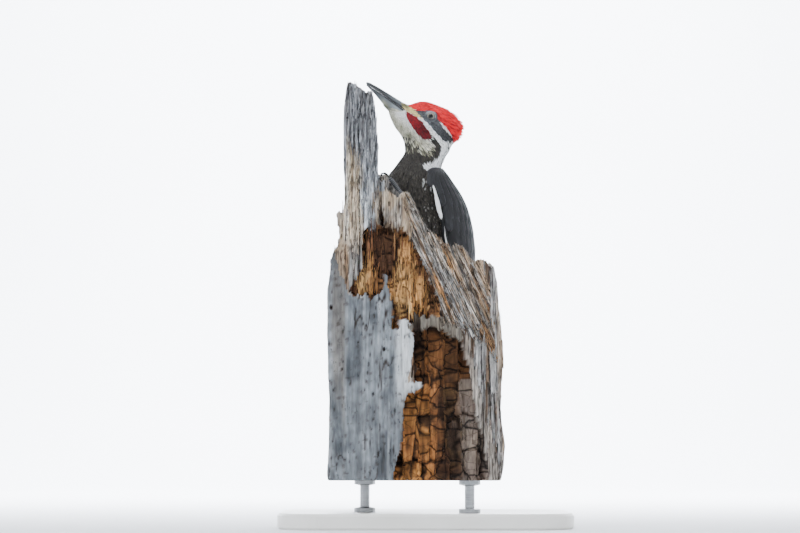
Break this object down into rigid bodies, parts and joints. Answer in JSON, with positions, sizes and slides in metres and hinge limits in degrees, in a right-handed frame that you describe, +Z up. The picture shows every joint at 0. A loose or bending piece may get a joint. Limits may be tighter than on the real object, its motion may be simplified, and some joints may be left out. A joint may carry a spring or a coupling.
{
  "type": "pileated woodpecker",
  "caption": "Life-size still model of a male pileated woodpecker clinging to a cut length of broken dead trunk, held by a flat display stand.",
  "frame": {"origin": "centre of the stand base's underside, on the floor", "axes": "+Z up, +X to the viewer's right, +Y away from the viewer; the bill points to -X and up, the belly faces -X and towards the viewer"},
  "size_m": [0.3, 0.22, 0.4641],
  "materials": {
    "plumage_black": "soft matte black-brown feathers",
    "plumage_slate": "stiff slaty flight feathers with a faint sheen",
    "plumage_white": "soft matte white feathers",
    "plumage_red": "bright silky red crown feathers",
    "bill_horn": "satin horn, slate above and pale grey below",
    "eye": "wet gloss",
    "foot_skin": "grey scaled skin",
    "claw_horn": "near-black polished horn",
    "dead_wood": "weathered grey and rotten orange-brown wood",
    "stand_board": "satin off-white lacquer on board",
    "stand_steel": "satin turned steel"
  },
  "bodies": {
    "root": {"bill_upper": "bill_horn", "bill_lower": "bill_horn", "crest": "plumage_red", "head": "plumage_white", "neck": "plumage_white", "trunk": "plumage_black", "tail": "plumage_slate", "perch_front": "dead_wood", "perch_spike": "dead_wood", "perch_back": "dead_wood", "stand_base": "stand_board", "stand_rod_left": "stand_steel", "stand_rod_right": "stand_steel", "eye_left": "eye", "wing_left": "plumage_slate", "primaries_left": "plumage_slate", "thigh_left": "plumage_black", "shank_left": "foot_skin", "toe_left_inner": "foot_skin", "claw_left_inner": "claw_horn", "toe_left_outer": "foot_skin", "claw_left_outer": "claw_horn", "toe_left_side": "foot_skin", "claw_left_side": "claw_horn", "toe_left_back": "foot_skin", "claw_left_back": "claw_horn", "eye_right": "eye", "wing_right": "plumage_slate", "primaries_right": "plumage_slate", "thigh_right": "plumage_black", "shank_right": "foot_skin", "toe_right_inner": "foot_skin", "claw_right_inner": "claw_horn", "toe_right_outer": "foot_skin", "claw_right_outer": "claw_horn", "toe_right_side": "foot_skin", "claw_right_side": "claw_horn", "toe_right_back": "foot_skin", "claw_right_back": "claw_horn"}
  },
  "joints": []
}
